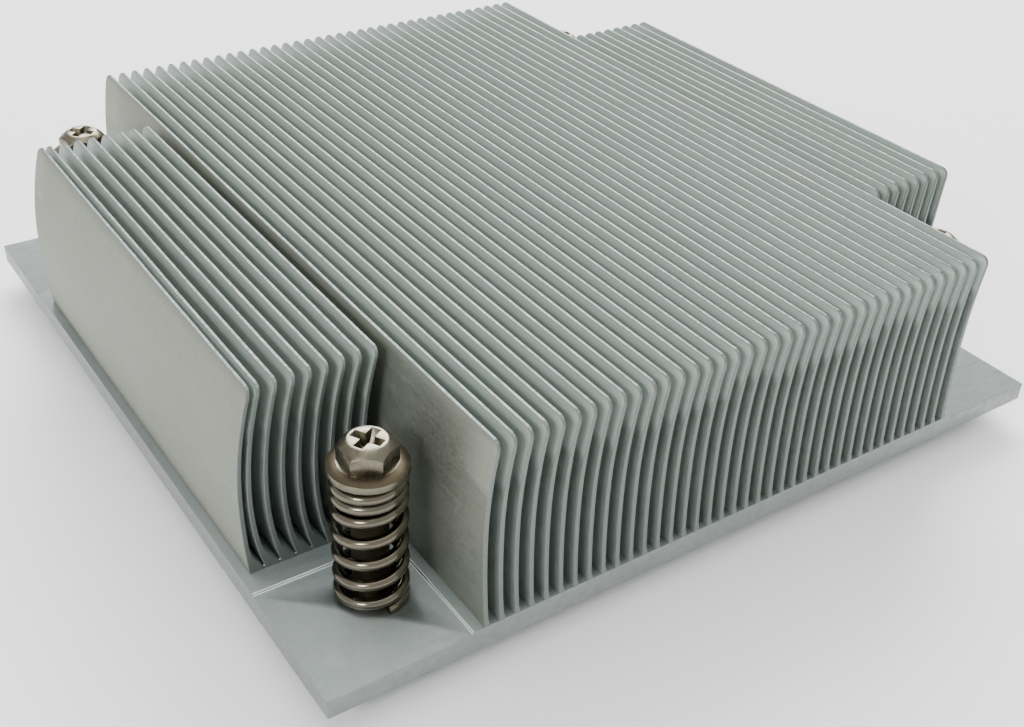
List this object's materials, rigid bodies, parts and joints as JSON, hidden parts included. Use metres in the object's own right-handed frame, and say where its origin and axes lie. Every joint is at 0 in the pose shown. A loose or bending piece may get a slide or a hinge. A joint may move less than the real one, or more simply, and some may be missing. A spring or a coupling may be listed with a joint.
{
  "type": "passive server processor heatsink",
  "caption": "Low square passive heatsink: skived curved aluminium fins on a flat base, cut away at the corners for sprung captive screws.",
  "frame": {"origin": "centre of the base's flat underside, which rests on the processor", "axes": "+Z from the processor up to the fin tips, +Y along the fins, +X across the fins, the way their tips lean"},
  "size_m": [0.095, 0.095, 0.027],
  "materials": {
    "skived_aluminium": "bare skived and milled aluminium, satin with fine shaving lines",
    "screw_steel": "bright nickel plate",
    "spring_steel": "bright nickel-plated wire",
    "ring_steel": "plain stamped spring steel"
  },
  "bodies": {
    "sink": {"heatsink": "skived_aluminium", "spring_front_left": "spring_steel", "spring_front_right": "spring_steel", "spring_rear_left": "spring_steel", "spring_rear_right": "spring_steel"},
    "ring_front_left": {"retaining_ring_front_left": "ring_steel"},
    "screw_front_left": {"screw_front_left": "screw_steel"},
    "ring_front_right": {"retaining_ring_front_right": "ring_steel"},
    "screw_front_right": {"screw_front_right": "screw_steel"},
    "ring_rear_left": {"retaining_ring_rear_left": "ring_steel"},
    "screw_rear_left": {"screw_rear_left": "screw_steel"},
    "ring_rear_right": {"retaining_ring_rear_right": "ring_steel"},
    "screw_rear_right": {"screw_rear_right": "screw_steel"}
  },
  "joints": [
    {"name": "screw_press_front_left", "type": "slide", "parent": "sink", "child": "ring_front_left", "axis": [0, 0, 1], "range_m": [-0.005, 0], "stiffness_N_per_m": 10500, "springref_m": 0.001, "deforming": ["spring_front_left"]},
    {"name": "screw_turn_front_left", "type": "hinge", "parent": "ring_front_left", "child": "screw_front_left", "pos_m": [-0.0375, -0.0375, 0], "axis": [0, 0, 1], "continuous": true},
    {"name": "screw_press_front_right", "type": "slide", "parent": "sink", "child": "ring_front_right", "axis": [0, 0, 1], "range_m": [-0.005, 0], "stiffness_N_per_m": 10500, "springref_m": 0.001, "deforming": ["spring_front_right"]},
    {"name": "screw_turn_front_right", "type": "hinge", "parent": "ring_front_right", "child": "screw_front_right", "pos_m": [0.0375, -0.0375, 0], "axis": [0, 0, 1], "continuous": true},
    {"name": "screw_press_rear_left", "type": "slide", "parent": "sink", "child": "ring_rear_left", "axis": [0, 0, 1], "range_m": [-0.005, 0], "stiffness_N_per_m": 10500, "springref_m": 0.001, "deforming": ["spring_rear_left"]},
    {"name": "screw_turn_rear_left", "type": "hinge", "parent": "ring_rear_left", "child": "screw_rear_left", "pos_m": [-0.0375, 0.0375, 0], "axis": [0, 0, 1], "continuous": true},
    {"name": "screw_press_rear_right", "type": "slide", "parent": "sink", "child": "ring_rear_right", "axis": [0, 0, 1], "range_m": [-0.005, 0], "stiffness_N_per_m": 10500, "springref_m": 0.001, "deforming": ["spring_rear_right"]},
    {"name": "screw_turn_rear_right", "type": "hinge", "parent": "ring_rear_right", "child": "screw_rear_right", "pos_m": [0.0375, 0.0375, 0], "axis": [0, 0, 1], "continuous": true}
  ]
}
